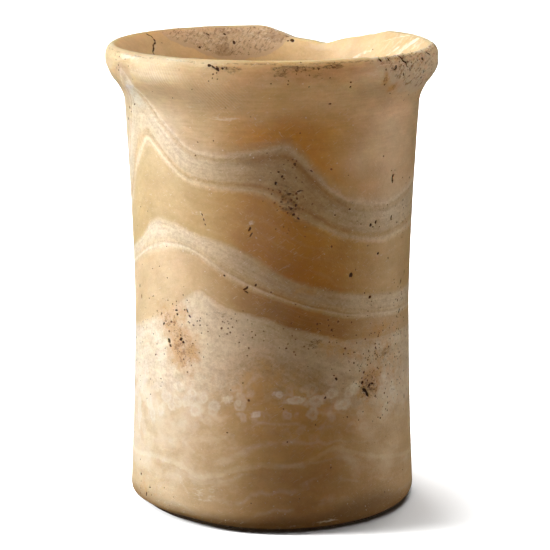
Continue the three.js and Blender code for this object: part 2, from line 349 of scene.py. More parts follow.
def profile():
    """The half section as (radius, height): outside from the axis up to the crest, and inside down again."""
    foot_flat = FOOT_RADIUS - FOOT_ROUNDING
    bore_low = FOOT_RADIUS - FOOT_WALL
    corner_top = FLOOR_THICKNESS + FLOOR_ROUNDING
    outside = [(0, 0)]
    outside += straight((0, 0), (foot_flat, 0), 6)
    outside += arc((foot_flat, FOOT_ROUNDING), (FOOT_ROUNDING, FOOT_ROUNDING), -90, 0, 7)
    outside += body_side(FOOT_ROUNDING, THROAT_HEIGHT)
    outside += lip_side()
    inward = CREST_RADIUS + (BORE_TOP_RADIUS - CREST_RADIUS) * FLARE_INWARD
    inside = swell((CREST_RADIUS, HEIGHT), (inward, HEIGHT - FLARE_DEPTH * FLARE_DOWN),
                   (BORE_TOP_RADIUS, HEIGHT - FLARE_DEPTH), 20)
    inside += bore_side()
    inside += arc((bore_low - FLOOR_ROUNDING, corner_top), (FLOOR_ROUNDING, FLOOR_ROUNDING), 0, -90, 6)
    inside += straight((bore_low - FLOOR_ROUNDING, FLOOR_THICKNESS), (0, FLOOR_THICKNESS), 5)
    return outside, inside


def turned():
    """The jar turned from its profile. Its layer "inner" is 0 outside, 1 inside and 0.5 on the crest."""
    outside, inside = profile()
    bm = bmesh.new()
    inner = bm.verts.layers.float.new("inner")
    chain = []
    for index, (radius, height) in enumerate(outside + inside):
        vert = bm.verts.new((radius * MM, 0, height * MM))
        vert[inner] = 0.0 if index < len(outside) - 1 else (0.5 if index == len(outside) - 1 else 1.0)
        chain.append(vert)
    links = [bm.edges.new(pair) for pair in zip(chain, chain[1:])]
    bmesh.ops.spin(bm, geom=chain + links, cent=(0, 0, 0), axis=(0, 0, 1), angle=math.tau, steps=SEGMENTS,
                   use_merge=True, use_duplicate=False)
    bmesh.ops.remove_doubles(bm, verts=bm.verts, dist=0.001 * MM)
    bmesh.ops.recalc_face_normals(bm, faces=bm.faces)
    return bm


def skin_point(azimuth, height, inside=False):
    """The place at an azimuth from the front and a height, on the outside or in the mouth, in mm."""
    points = np.array(profile()[1 if inside else 0])
    points = points[(points[:, 0] > BORE_TOP_RADIUS - 1) & (points[:, 1] > FOOT_ROUNDING / 2)]
    points = points[np.argsort(points[:, 1])]
    radius = float(np.interp(height, points[:, 1], points[:, 0]))
    turn = math.radians(azimuth)
    return np.array((radius * math.sin(turn), -radius * math.cos(turn), height))


def refine(bm, places, reach, cuts):
    """Divide the faces near the places, each with its half length, so that a small mark keeps its shape."""
    bm.verts.ensure_lookup_table()
    bm.verts.index_update()
    points = np.array([vert.co for vert in bm.verts]) / MM
    near = np.zeros(len(points), bool)
    for place, half in places:
        near |= np.linalg.norm(points - place, axis=1) < half * reach + reach
    edges = [edge for edge in bm.edges if near[edge.verts[0].index] and near[edge.verts[1].index]]
    bmesh.ops.subdivide_edges(bm, edges=edges, cuts=cuts, use_grid_fill=True)


def ripple(points, size, seed):
    """Smooth unevenness from about -1 to 1, with humps about size mm across, at points in mm."""
    draw = np.random.default_rng(seed)
    total = np.zeros(len(points))
    waves = 14
    for _ in range(waves):
        direction = draw.normal(size=3)
        direction /= np.linalg.norm(direction)
        length = size * draw.uniform(1.4, 2.8)
        total += np.sin(points @ direction * math.tau / length + draw.uniform(0, math.tau))
    return total / math.sqrt(waves) / 1.6


def ease(low, high, value):
    """0 below low, 1 above high, and smooth between. It falls where low is the larger."""
    t = np.clip((value - low) / (high - low), 0, 1)
    return t * t * (3 - 2 * t)


def above(limit, softness, value):
    """How far value is above limit, rounded over softness where it comes up to it."""
    over = value - limit
    return (over + np.sqrt(over ** 2 + softness ** 2)) / 2


def round_line(points, azimuth, rounding=STRATA_ROUNDING):
    """The value at each azimuth of a line through (azimuth, value) points that runs right round the jar."""
    grid = np.arange(0, 360, 0.25)
    places = np.array(sorted((place % 360, value) for place, value in points))
    line = np.interp(grid, places[:, 0], places[:, 1], period=360)
    distance = np.minimum(grid, 360 - grid)
    kernel = np.exp(-0.5 * (distance / rounding) ** 2)
    line = np.fft.irfft(np.fft.rfft(line) * np.fft.rfft(kernel / kernel.sum()), len(grid))
    return np.interp(azimuth % 360, grid, line, period=360)


class Skin:
    """The jar's points while it is worked: where each lies on the turned form, and the marks it carries."""

    def __init__(self, mesh):
        count = len(mesh.vertices)
        flat = np.empty(count * 3)
        mesh.vertices.foreach_get("co", flat)
        self.points = flat.reshape(-1, 3) / MM
        mesh.vertex_normals.foreach_get("vector", flat)
        self.normals = flat.reshape(-1, 3).copy()
        inner = np.empty(count, np.float32)
        mesh.attributes["inner"].data.foreach_get("value", inner)
        x, y, self.height = self.points.T
        self.radius = np.hypot(x, y)
        self.azimuth = np.degrees(np.arctan2(x, -y))
        self.outer = inner < 0.75
        self.inner = inner > 0.75
        self.moved = self.points.copy()
        self.pit = np.zeros(count)

    def offset(self, azimuth, height, turn=0.0):
        """Distance along and across a direction on the skin from a place on it, in mm."""
        around = (self.azimuth - azimuth + 180) % 360 - 180
        level = np.radians(around) * self.radius
        rise = self.height - height
        c, s = math.cos(math.radians(turn)), math.sin(math.radians(turn))
        return level * c + rise * s, rise * c - level * s

    def spot(self, azimuth, height, wide, tall):
        """A soft spot on the outside, with half sizes in mm: 1 in its middle and 0 well outside."""
        along, across = self.offset(azimuth, height)
        return np.exp(-(along / wide) ** 2 - (across / tall) ** 2) * self.outer

    def distance(self, line, closed=False):
        """Distance in mm from a line of (azimuth, height) points, or the depth into the area it closes."""
        width = CREST_RADIUS * math.pi / 180
        places = np.column_stack((self.azimuth % 360 * width, self.height))
        ends = np.array([(azimuth % 360 * width, height) for azimuth, height in line])
        nearest = np.full(len(places), 99.0)
        within = np.zeros(len(places), bool)
        for start, end in zip(ends, np.roll(ends, -1, 0)[:None if closed else -1]):
            side = end - start
            share = np.clip((places - start) @ side / (side @ side), 0, 1)
            nearest = np.minimum(nearest, np.linalg.norm(places - start - share[:, None] * side, axis=1))
            if side[1]:
                crossing = start[0] + (places[:, 1] - start[1]) / side[1] * side[0]
                spans = (start[1] > places[:, 1]) != (end[1] > places[:, 1])
                within ^= spans & (places[:, 0] < crossing)
        return np.where(within, nearest, -nearest) if closed else nearest

    def push_in(self, depth):
        """Move the points into the stone by depth in mm."""
        self.moved -= self.normals * depth[:, None]


def wear_by_hand(skin):
    """The unevenness that grinding by hand and long wear left: never proud of the turned form."""
    depth = 0.10 * (1 + ripple(skin.points, 30, 1)) + 0.04 * (1 + ripple(skin.points, 7, 2))
    crest = ease(5.0, 0.0, HEIGHT - skin.height)
    depth += crest * 0.06 * (1 + ripple(skin.points, 4, 3))
    level = (skin.height < 0.01) & skin.outer
    skin.push_in(np.where(level, 0, np.clip(depth, 0, None)))


def break_floor(skin):
    """Height of the break's floor under each point, in mm, far above the lip where there is no break."""
    turn = math.radians(BREAK_TURN)
    x, y = skin.points[:, 0], skin.points[:, 1]
    along = x * math.cos(turn) - y * math.sin(turn)
    outward = x * math.sin(turn) + y * math.cos(turn)
    t = np.linspace(0, 1, 60)
    left = BREAK_LEFT_REACH
    route = -left * (1 - t) ** 3 - 0.75 * left * 3 * t * (1 - t) ** 2 - 0.45 * left * 3 * t * t * (1 - t)
    drop = BREAK_DEPTH * (0.4 * 3 * t * (1 - t) ** 2 + 3 * t * t * (1 - t) + t ** 3)
    route = np.concatenate(([-2 * left], route, [2 * BREAK_RIGHT_REACH]))
    drop = np.concatenate(([-BREAK_DEPTH], drop, [-BREAK_DEPTH]))
    fall = math.tan(math.radians(BREAK_FALL))
    floor = HEIGHT - np.interp(along, route, drop) - fall * (outward - CREST_RADIUS)
    for place, width, rise in BREAK_RELIEF:
        floor += rise * np.exp(-((along - place) / width) ** 2)
    return np.where(outward > 0, floor, HEIGHT + BREAK_DEPTH)


def open_break(skin):
    """Take the lip down to the floor of the break, with worn edges and the relief of broken stone."""
    relief = 0.16 * ripple(skin.points, 5, 4) + 0.07 * ripple(skin.points, 2.2, 5)
    over = skin.moved[:, 2] - break_floor(skin)
    skin.broken = ease(-0.4, 0.8, over)
    skin.moved[:, 2] -= above(0, 0.4, over)
    skin.moved[:, 2] += relief * skin.broken


def rub(skin, azimuth, height, wide, tall, depth, tilt):
    """Rub a flat facet on the outside, facing out and tilt degrees down."""
    along, across = skin.offset(azimuth, height)
    inside = ease(1.15, 0.75, np.sqrt((along / wide) ** 2 + (across / tall) ** 2)) * skin.outer
    turn, fall = math.radians(azimuth), math.radians(tilt)
    facing = np.array((math.sin(turn) * math.cos(fall), -math.cos(turn) * math.cos(fall), -math.sin(fall)))
    level = skin.moved @ facing
    cut = above(level[inside > 0.5].max() - depth, 0.15, level) * inside
    skin.moved -= cut[:, None] * facing


def wear_foot(skin):
    """Wear the edge of the foot away, most at the front left."""
    fall = math.radians(FOOT_WEAR_SLOPE)
    level = skin.radius * math.cos(fall) - skin.height * math.sin(fall)
    foot_flat = FOOT_RADIUS - FOOT_ROUNDING
    sharpest = foot_flat * math.cos(fall) + FOOT_ROUNDING * (1 - math.sin(fall))
    wear = round_line(FOOT_WEAR, skin.azimuth, 5) * (1 + 0.12 * ripple(skin.points, 6, 8))
    worn = skin.outer & (skin.height < FOOT_ROUNDING * 3) & (wear > 0.01)
    cut = above(sharpest - wear, 0.25, level) * worn
    turn = np.radians(skin.azimuth)
    facing = np.column_stack((np.sin(turn) * math.cos(fall), -np.cos(turn) * math.cos(fall),
                              np.full(len(turn), -math.sin(fall))))
    skin.moved -= cut[:, None] * facing
    skin.moved[:, 2] = np.maximum(skin.moved[:, 2], 0)


def tear_rim(skin):
    """The torn, ridged surface of the grey stone at the right of the lip."""
    skin.rim_patch = skin.distance(RIM_PATCH, closed=True)
    across = skin.offset(60, 143, 62)[1]
    ridges = np.sin(across * math.tau / 3.4 + 1.6 * ripple(skin.points, 6, 9))
    rough = 0.13 * (1 + ridges)
    rough += 0.12 * (1 + ripple(skin.points, 2.6, 10))
    rough += 0.05 * (1 + ripple(skin.points, 1.4, 11))
    skin.push_in(rough * ease(-1.0, 1.5, skin.rim_patch) * skin.outer)


def sink_pits(skin):
    """Sink the pits, the slits and the crack, and keep how near to each of them a point is."""
    bend = np.column_stack([ripple(skin.points, 0.8, seed) for seed in (6, 12)]) * 0.16
    for pits, side in ((PITS, skin.outer), (INNER_PITS, skin.inner)):
        for azimuth, height, half_length, half_width, turn, depth in pits:
            along, across = skin.offset(azimuth, height, turn)
            distance = np.hypot((along + bend[:, 0]) / half_length, (across + bend[:, 1]) / half_width)
            distance[~side] = 9
            skin.push_in(depth * ease(1.25, 0.2, distance))
            skin.pit = np.maximum(skin.pit, np.clip(1.5 - distance / 2, 0, 1))
    crack = skin.distance(CRACK) + bend[:, 0]
    crack[~skin.inner] = 9
    skin.push_in(0.4 * ease(0.5, 0.05, crack))
    skin.pit = np.maximum(skin.pit, np.clip(1.5 - crack / 0.56, 0, 1))


def layer_of(skin):
    """The number of the layer that each point lies in, with the share of the way through it."""
    depth = np.where(skin.inner, np.clip(HEIGHT - skin.height, 0, MOUTH_DEPTH) / MOUTH_DEPTH, 0)
    azimuth = skin.azimuth + MOUTH_TURN * depth
    height = skin.height + MOUTH_DROP * depth
    lines = [np.full(len(height), HEIGHT + ABOVE_RIM)]
    lines += [round_line(points, azimuth) for points in STRATA]
    lines += [np.full(len(height), BELOW_FOOT)]
    layer = np.zeros(len(height))
    for upper, lower in zip(lines, lines[1:]):
        layer += np.clip((upper - height) / np.maximum(upper - lower, 0.5), 0, 1)
    in_mouth = skin.inner & (height > HEIGHT - FLARE_DEPTH)
    return np.where(in_mouth, np.maximum(layer, TOP_LAYER_INSIDE), layer)


def mark(mesh, name, values):
    """Keep a number for each point of the mesh, for its material."""
    attribute = mesh.attributes.new(name, "FLOAT", "POINT")
    attribute.data.foreach_set("value", np.asarray(values, np.float32))


def paint_marks(mesh, skin):
    """Write down where the stone is dirty, stained, chalky, pitted or of another bed, and where shade, glow
    and a highlight are painted into its colour.
    """
    mark(mesh, "layer", layer_of(skin))
    mark(mesh, "pit", skin.pit)
    around, rise = skin.offset(158, 143.4)
    torn = np.exp(-(around / 8) ** 2 - (rise / 1.8) ** 2) * skin.inner
    mark(mesh, "broken", np.maximum(skin.broken, torn))
    vein = np.zeros(len(skin.points))
    for inside, half, line in VEINS:
        near = np.clip(1.5 - skin.distance(line) / half / 2, 0, 1)
        vein = np.maximum(vein, near * (skin.inner if inside else skin.outer))
    mark(mesh, "vein", vein)
    # Painted shade and glow in the colour: deeper towards the side away from the key light, partly the
    # stone's own deeper honey; paler at the lip and at two spots on the right, painted glow of light through
    # the stone; a little deeper again at the lip on the left; inside the mouth at least 0.35.
    lip = ease(126, 138, skin.height)
    deep_and_shaded = round_line(DEPTH_OF_COLOUR_AND_SHADE, skin.azimuth, 4) * (1 - 0.6 * lip)
    deep_and_shaded += 0.14 * lip * ease(15, -25, skin.azimuth)
    deep_and_shaded -= 0.34 * skin.spot(38, 121, 14, 12) + 0.3 * skin.spot(38, 145, 10, 5)
    mark(mesh, "deep_and_shaded", np.where(skin.inner, np.maximum(deep_and_shaded, 0.35), deep_and_shaded))
    mark(mesh, "turned", (0.15 + 0.85 * ease(112, 126, skin.height)) * skin.outer)
    mark(mesh, "outer", skin.outer)
    mark(mesh, "rim_patch", np.where(skin.outer, np.clip(skin.rim_patch, -5, 2), -5))
    for name, spots in MARKS.items():
        total = sum(strength * skin.spot(*place) for strength, *place in spots)
        mark(mesh, name, np.clip(total, 0, 0.8))
    # Brown stain at the foot, partly painted shade near the floor, reaching higher at the right and a little
    # at the left; its lowest edge darkest, partly a dark edge, partly painted contact shade
    stain_and_shade_up_to = 11 + 10 * np.exp(-((skin.azimuth - 42) / 18) ** 2)
    stain_and_shade_up_to += 3 * np.exp(-((skin.azimuth + 62) / 20) ** 2)
    mark(mesh, "foot", ease(stain_and_shade_up_to, 0, skin.height) * skin.outer)
    mark(mesh, "foot_edge_stain_and_shade", ease(2.4, 0.6, skin.height) * skin.outer)
    globule = np.full(len(skin.points), 9.0)
    for azimuth, height, wide, tall in GLOBULES:
        globule = np.minimum(globule, np.hypot(*(offset / half for offset, half in
                                                 zip(skin.offset(azimuth, height), (wide, tall)))))
    mark(mesh, "globule", np.where(skin.outer, np.clip(2 - globule, 0, 2), 0))
    belt = np.exp(-((skin.height - 41 + 3 * ripple(skin.points, 14, 13)) / 8) ** 2)
    mark(mesh, "globular", belt * (1 - 0.75 * np.exp(-((skin.azimuth + 1) / 9) ** 2)) * skin.outer)
    # A thin dark line round the outside just under the crest
    mark(mesh, "crest", ease(148.2, 148.7, skin.height) * ease(149.6, 149.3, skin.height) * skin.outer)
    clouded = ease(8, 16, skin.height) * ease(52, 42, skin.height) * skin.outer
    mark(mesh, "low_cloud", clouded * (1 - 0.5 * np.clip(deep_and_shaded, 0, 1)))
    bed = np.clip(skin.height - round_line(INNER_BED, skin.azimuth, 1), -6, 1.5)
    mark(mesh, "inner_bed", np.where(skin.inner, bed, -6))
    flare = ease(138, 142, skin.height) * np.exp(-((skin.azimuth - 104) / 22) ** 2)
    mark(mesh, "streaks", flare * skin.inner)


def make_jar():
    """The jar as one closed mesh, turned, divided finely near its pits, and worked."""
    bm = turned()
    places = [(skin_point(azimuth, height), half) for azimuth, height, half, *_ in PITS]
    places += [(skin_point(azimuth, height, True), half) for azimuth, height, half, *_ in INNER_PITS]
    places += [(skin_point(azimuth, height, True), 0.2) for azimuth, height in CRACK]
    refine(bm, places, 1.0, 2)
    refine(bm, places, 0.5, 1)
    mesh = bpy.data.meshes.new("jar")
    bm.to_mesh(mesh)
    bm.free()
    skin = Skin(mesh)
    wear_by_hand(skin)
    open_break(skin)
    wear_foot(skin)
    tear_rim(skin)
    for facet in FACETS:
        rub(skin, *facet)
    sink_pits(skin)
    mesh.vertices.foreach_set("co", (skin.moved * MM).ravel())
    paint_marks(mesh, skin)
    for face in mesh.polygons:
        face.use_smooth = True
    mesh.update()
    jar = bpy.data.objects.new("carved_jar", mesh)
    bpy.context.scene.collection.objects.link(jar)
    return jar


def linear(code):
    """An sRGB hex colour as linear red, green, blue and alpha."""
    parts = [int(code[i:i + 2], 16) / 255 for i in (0, 2, 4)]
    return [c / 12.92 if c <= 0.04045 else ((c + 0.055) / 1.055) ** 2.4 for c in parts] + [1.0]


def add(tree, kind, links=(), out=0, **settings):
    """Add a node with its settings, give each input in links a socket or a value, and hand back an output."""
    node = tree.nodes.new(kind)
    for name, value in settings.items():
        setattr(node, name, value)
    for key, value in (links.items() if isinstance(links, dict) else enumerate(links)):
        if isinstance(value, bpy.types.NodeSocket):
            tree.links.new(value, node.inputs[key])
        else:
            node.inputs[key].default_value = value
    return node.outputs[out]


# How many layers the lines of STRATA part, and the number that is reached at the ragged line
LAYERS = len(STRATA) + 1
RAGGED_SIDE = 7.0

# The colours down through the layers where the stone looks pale, on the side that the key light falls on:
# (layer, sRGB hex)
PALE_STRATA = (
    (0.0, "C8B899"), (0.95, "CCB998"), (1.1, "E5D6B6"), (1.9, "E0CFAE"), (1.985, "E9D7B8"), (2.01, "F9EEDC"),
    (2.045, "EFE0C6"), (2.09, "DFC9A5"), (2.16, "E7D4B3"), (2.25, "EEE1CA"), (2.7, "E6D6B9"),
    (2.79, "DCC39A"), (2.86, "E4CFAA"), (2.93, "F2E5CB"), (2.99, "EBD9B7"), (3.06, "DAC59A"),
    (3.95, "D9C293"), (4.1, "F0E3CB"), (4.5, "EEE0C6"), (4.72, "E7D4B2"), (4.84, "F5EAD6"), (4.94, "EAD9BA"),
    (5.06, "E4CCA5"), (5.95, "E4CEA7"), (6.05, "F1E4CE"), (6.9, "EFE0C8"), (7.3, "E6D2B0"), (7.95, "E5D0AD"),
    (8.0, "F3E8CF"), (8.05, "E3CDA9"), (9.0, "DCC299"),
)

# The same where it looks deep: deeper honey, partly the stone's own, and greyer, darker white bands, painted
# shade for the side away from the key light
DEEP_AND_SHADED_STRATA = (
    (0.0, "B7A384"), (0.95, "BBA582"), (1.1, "D8AB57"), (1.9, "C68D33"), (1.97, "B98F59"), (2.02, "C6AB88"),
    (2.1, "AE916D"), (2.17, "9A7340"), (2.24, "A28053"), (2.34, "B1956F"), (2.74, "B09167"), (2.82, "A07741"),
    (2.89, "B8986A"), (2.95, "C4A57A"), (3.04, "BA8634"), (3.93, "AE751F"), (4.02, "B6976D"), (4.4, "B59A77"),
    (4.7, "B5956B"), (4.78, "A37D49"), (4.85, "C8AC88"), (4.94, "B89768"), (5.06, "A4732C"), (5.95, "9C6A1E"),
    (6.06, "C3AC8B"), (6.5, "CAB497"), (6.9, "C8AA82"), (7.2, "D0A66D"), (7.95, "D0A76A"), (8.0, "DFC08C"),
    (8.05, "CEA46A"), (9.0, "D0A56E"),
)

# How milky the layers are, from clear honey stone to opaque white
MILKY_STRATA = (
    (0.0, "BBBBBB"), (0.95, "999999"), (1.15, "111111"), (1.95, "111111"), (2.02, "FFFFFF"), (3.0, "EEEEEE"),
    (3.08, "111111"), (3.94, "111111"), (4.05, "FFFFFF"), (4.95, "EEEEEE"), (5.08, "222222"),
    (5.92, "222222"), (6.06, "FFFFFF"), (6.9, "EEEEEE"), (7.2, "444444"), (9.0, "333333"),
)

# Unevenness in the stone: size in mm, detail, roughness, how much flatter than wide, tilt about Y in degrees
NOISES = {
    "grain": (0.55, 3.0, 0.7, 1.0, 0),
    "speck": (1.3, 5.0, 0.72, 1.0, 0),
    "patch": (3.2, 5.0, 0.66, 1.0, 0),
    "smear": (2.4, 6.0, 0.7, 2.6, 0),
    "fibre": (2.6, 5.0, 0.7, 4.0, 52),
    "cloud": (10.0, 5.0, 0.6, 1.4, 0),
    "wide": (27.0, 3.0, 0.5, 1.0, 0),
    "turning": (7.0, 4.0, 0.6, 9.0, 0),
    "scratch": (2.2, 2.0, 0.5, 9.0, 33),
    "nick": (1.7, 2.0, 0.5, 6.0, -48),
}

# Growth lines: how far they run before they wander, in mm, and their half waves in a layer
RINGS_WANDER = 20.0
RINGS_HALF_WAVES = 7.5

# From one small globule, and from one white fleck, to the next, in mm
SMALL_GLOBULES_APART = 4.6
FLECKS_APART = 2.1

# How far light goes into the clear and into the milky stone, in mm
REACH_IN_CLEAR = 8.0
REACH_IN_MILKY = 4.0

# Fine pits: distance between them and half width in mm, and their share where the stone is least pitted
FINE_PITS = ((2.3, 0.5, 0.01), (1.25, 0.34, 0.012))

# What the grain multiplies the colour by where it is darkest and lightest, as linear red, green, blue, alpha
DARKEST_GRAIN = (0.74, 0.66, 0.56, 1)
LIGHTEST_GRAIN = (1.11, 1.11, 1.12, 1)

# What lies on the strata: mark, noise and its share, between which values it comes in, strength and sRGB hex
COATS = (
    ("veil", "smear", 1.6, 1.4, 1.7, 0.6, "F1E6D2"),
    ("rim_patch", "patch", 3.0, 1.2, 1.9, 0.85, "DDCDB3"),
    ("rim_patch", "fibre", 5.0, 4.6, 5.1, 0.75, "976A35"),
    ("rim_patch", "smear", 5.0, 4.7, 5.2, 0.5, "8A7350"),
    ("rim_patch", "speck", 5.0, 4.75, 5.15, 0.8, "EDE3D2"),
    ("inner_bed", "patch", 2.2, 0.9, 1.5, 0.92, "CFB596"),
    ("inner_bed", "cloud", 6.0, 4.4, 5.1, 0.5, "9C7C5E"),
    ("inner_bed", "smear", 6.0, 4.6, 5.2, 0.6, "E2D0B6"),
    ("inner_bed", "fibre", 6.0, 4.6, 5.1, 0.5, "7E5C3C"),
    ("inner_bed", "speck", 6.0, 4.8, 5.3, 0.6, "60432C"),
    # Stain at the foot and its darkest lowest edge, partly painted shade where the jar meets the floor
    ("foot", "cloud", 0.5, 0.45, 1.1, 0.82, "84602F"),
    ("foot_edge_stain_and_shade", "smear", 0.6, 0.6, 1.0, 0.9, "3E2C17"),
    ("rust", "patch", 1.5, 0.95, 1.7, 0.6, "D09A4E"),
    ("rust", "speck", 1.6, 1.56, 1.76, 0.6, "94571E"),
    ("rust", "grain", 1.6, 1.70, 1.86, 0.7, "6A380A"),
    # Chalky wear, with a painted highlight along the crest at the left
    ("chalk_and_highlight", "smear", 1.4, 1.25, 1.6, 0.7, "F3EADA"),
    ("dirt", "smear", 1.7, 1.48, 1.82, 0.55, "6E4E26"),
    ("dirt", "speck", 1.9, 1.76, 2.0, 0.75, "503818"),
    ("dirt", "grain", 1.9, 1.88, 2.08, 0.75, "4A3010"),
    # The thin dark brown line just under the crest
    ("crest", "smear", 1.6, 1.72, 1.95, 0.5, "74542C"),
    ("low_cloud", "cloud", 2.2, 1.75, 2.3, 0.35, "F0E3CE"),
    ("broken", "patch", 0.8, 0.9, 1.4, 0.45, "E9DBC2"),
    ("vein", "patch", 0.8, 1.2, 1.45, 0.7, "FAF1E2"),
    ("outer", "scratch", 1.0, 1.64, 1.73, 0.3, "F8F0E0"),
    ("outer", "nick", 1.0, 1.66, 1.75, 0.35, "F8F0E0"),
)


def stone_noises(tree, place):
    """Every noise of the table, by its name."""
    noises = {}
    for name, (size, detail, rough, flatter, tilt) in NOISES.items():
        tilted = add(tree, "ShaderNodeVectorRotate", {"Vector": place, "Angle": math.radians(tilt)},
                     rotation_type="Y_AXIS")
        squeezed = add(tree, "ShaderNodeVectorMath", (tilted, (1, 1, flatter)), operation="MULTIPLY")
        noises[name] = add(tree, "ShaderNodeTexNoise", {
            "Vector": squeezed, "Scale": 1 / size, "Detail": detail, "Roughness": rough,
        })
    return noises


def strata_colour(tree, noises, fields, waver):
    """Colour and milkiness of the strata, whose edges waver, and fray where a milky band runs out. The colour
    mixes the pale colours with the deeper ones that carry painted shade.
    """
    layer = fields["layer"]
    from_ragged = add(tree, "ShaderNodeMath", (layer, RAGGED_SIDE), operation="SUBTRACT")
    from_ragged = add(tree, "ShaderNodeMath", (from_ragged,), operation="ABSOLUTE")
    fray = add(tree, "ShaderNodeMapRange", (from_ragged, 0.9, 0.1, 0.10, 0.9),
               interpolation_type="SMOOTHSTEP")
    bent = add(tree, "ShaderNodeMath", (waver, fray, layer), operation="MULTIPLY_ADD")
    share = add(tree, "ShaderNodeMath", (bent, LAYERS), operation="DIVIDE")
    ramps = []
    for stops in (PALE_STRATA, DEEP_AND_SHADED_STRATA, MILKY_STRATA):
        ramps.append(add(tree, "ShaderNodeValToRGB", {"Fac": share}))
        ramp = ramps[-1].node.color_ramp
        ramp.elements.remove(ramp.elements[-1])
        ramp.elements[0].position = 0
        ramp.elements[0].color = linear(stops[0][1])
        for stop, code in stops[1:]:
            ramp.elements.new(stop / LAYERS).color = linear(code)
    pale, deep_and_shaded, milky = ramps
    # Deeper colours, carrying painted shade, where the mark asks for them, varied by a wide noise
    deep_and_shaded_share = add(tree, "ShaderNodeMath", (noises["wide"], 0.6, fields["deep_and_shaded"]), operation="MULTIPLY_ADD")
    deep_and_shaded_share = add(tree, "ShaderNodeMath", (deep_and_shaded_share, 0.3), operation="SUBTRACT", use_clamp=True)
    colour = add(tree, "ShaderNodeMix", {0: deep_and_shaded_share, 6: pale, 7: deep_and_shaded}, 2, data_type="RGBA")
    return colour, milky


def add_growth_lines(tree, colour, place, noises, fields):
    """Faint growth lines that follow the layers, strongest in the clear stone above the foot."""
    layer = fields["layer"]
    rings = add(tree, "ShaderNodeTexNoise", {
        "Vector": place, "Scale": 1 / RINGS_WANDER, "Detail": 2.0, "Distortion": 0.3,
    })
    rings = add(tree, "ShaderNodeMath", (rings, 5.0), operation="MULTIPLY")
    rings = add(tree, "ShaderNodeMath", (layer, RINGS_HALF_WAVES, rings), operation="MULTIPLY_ADD")
    rings = add(tree, "ShaderNodeMath", (rings, 1.0), operation="PINGPONG")
    rings = add(tree, "ShaderNodeMapRange", (rings, 0.62, 1.0), interpolation_type="SMOOTHSTEP")
    low = add(tree, "ShaderNodeMapRange", (layer, 6.7, 7.3, 0.05, 0.22))
    rings = add(tree, "ShaderNodeMath", (rings, low), operation="MULTIPLY")
    broken_up = add(tree, "ShaderNodeMapRange", (noises["cloud"], 0.38, 0.54),
                    interpolation_type="SMOOTHSTEP")
    rings = add(tree, "ShaderNodeMath", (rings, broken_up), operation="MULTIPLY")
    return add(tree, "ShaderNodeMix", {0: rings, 6: colour, 7: linear("F2E6D0")}, 2, data_type="RGBA")


def add_globules(tree, colour, place, fields, waver):
    """Globules of milky calcite, brightest at their rims: large ones in their places, small ones between."""
    wavered = add(tree, "ShaderNodeMath", (waver, 2.4, fields["globule"]), operation="MULTIPLY_ADD")
    body = add(tree, "ShaderNodeMapRange", (wavered, 0.6, 1.25, 0.0, 0.72), interpolation_type="SMOOTHSTEP")
    core = add(tree, "ShaderNodeMapRange", (wavered, 1.2, 1.7, 0.0, 0.35), interpolation_type="SMOOTHSTEP")
    globules = add(tree, "ShaderNodeMath", (body, core), operation="SUBTRACT", use_clamp=True)
    drift = add(tree, "ShaderNodeTexNoise", {"Vector": place, "Scale": 1 / 4, "Detail": 3.0}, out="Color")
    drifting = add(tree, "ShaderNodeVectorMath", (drift, (4, 4, 4), place), operation="MULTIPLY_ADD")
    small = add(tree, "ShaderNodeTexVoronoi", {"Vector": drifting, "Scale": 1 / SMALL_GLOBULES_APART},
                out="Distance")
    body = add(tree, "ShaderNodeMapRange", (small, 0.54, 0.34, 0.0, 0.58), interpolation_type="SMOOTHSTEP")
    core = add(tree, "ShaderNodeMapRange", (small, 0.36, 0.15, 0.0, 0.45), interpolation_type="SMOOTHSTEP")
    small = add(tree, "ShaderNodeMath", (body, core), operation="SUBTRACT", use_clamp=True)
    small = add(tree, "ShaderNodeMath", (small, fields["globular"]), operation="MULTIPLY")
    globules = add(tree, "ShaderNodeMath", (globules, small), operation="MAXIMUM")
    return add(tree, "ShaderNodeMix", {0: globules, 6: colour, 7: linear("F6EEDF")}, 2, data_type="RGBA")


def add_grain(tree, colour, place, noises, fields, milky):
    """Clouding, turning marks at the lip, and laminae and grain, which are strongest in the milky layers."""
    laid_down = add(tree, "ShaderNodeMath", (fields["layer"], 11.0), operation="MULTIPLY")
    laid_down = add(tree, "ShaderNodeCombineXYZ", {"Z": laid_down})
    laid_down = add(tree, "ShaderNodeVectorMath", (place, (0.09, 0.09, 0.03), laid_down),
                    operation="MULTIPLY_ADD")
    laminae = add(tree, "ShaderNodeTexNoise", {
        "Vector": laid_down, "Scale": 1.0, "Detail": 4.0, "Roughness": 0.6,
    })
    cloud = add(tree, "ShaderNodeMapRange", (noises["cloud"], 0.36, 0.66, 0.91, 1.06))
    grain = add(tree, "ShaderNodeMapRange", (noises["speck"], 0.3, 0.7, 0.84, 1.16))
    fine = add(tree, "ShaderNodeMapRange", (noises["grain"], 0.3, 0.7, 0.88, 1.12))
    turning = add(tree, "ShaderNodeMapRange", (noises["turning"], 0.3, 0.7, -0.09, 0.07))
    cloud = add(tree, "ShaderNodeMath", (turning, fields["turned"], cloud), operation="MULTIPLY_ADD")
    lines = add(tree, "ShaderNodeMapRange", (laminae, 0.3, 0.7, 0.86, 1.14))
    shade = add(tree, "ShaderNodeMath", (grain, fine), operation="MULTIPLY")
    shade = add(tree, "ShaderNodeMath", (shade, lines), operation="MULTIPLY")
    shade = add(tree, "ShaderNodeMath", (shade, 1.0), operation="SUBTRACT")
    grainy = add(tree, "ShaderNodeMapRange", (milky, 0.0, 1.0, 0.3, 1.0))
    shade = add(tree, "ShaderNodeMath", (shade, grainy, cloud), operation="MULTIPLY_ADD")
    shade = add(tree, "ShaderNodeMapRange", (shade, 0.7, 1.12))
    shade = add(tree, "ShaderNodeMix", {0: shade, 6: DARKEST_GRAIN, 7: LIGHTEST_GRAIN}, 2, data_type="RGBA")
    return add(tree, "ShaderNodeMix", {0: 1.0, 6: colour, 7: shade}, 2, data_type="RGBA",
               blend_type="MULTIPLY")


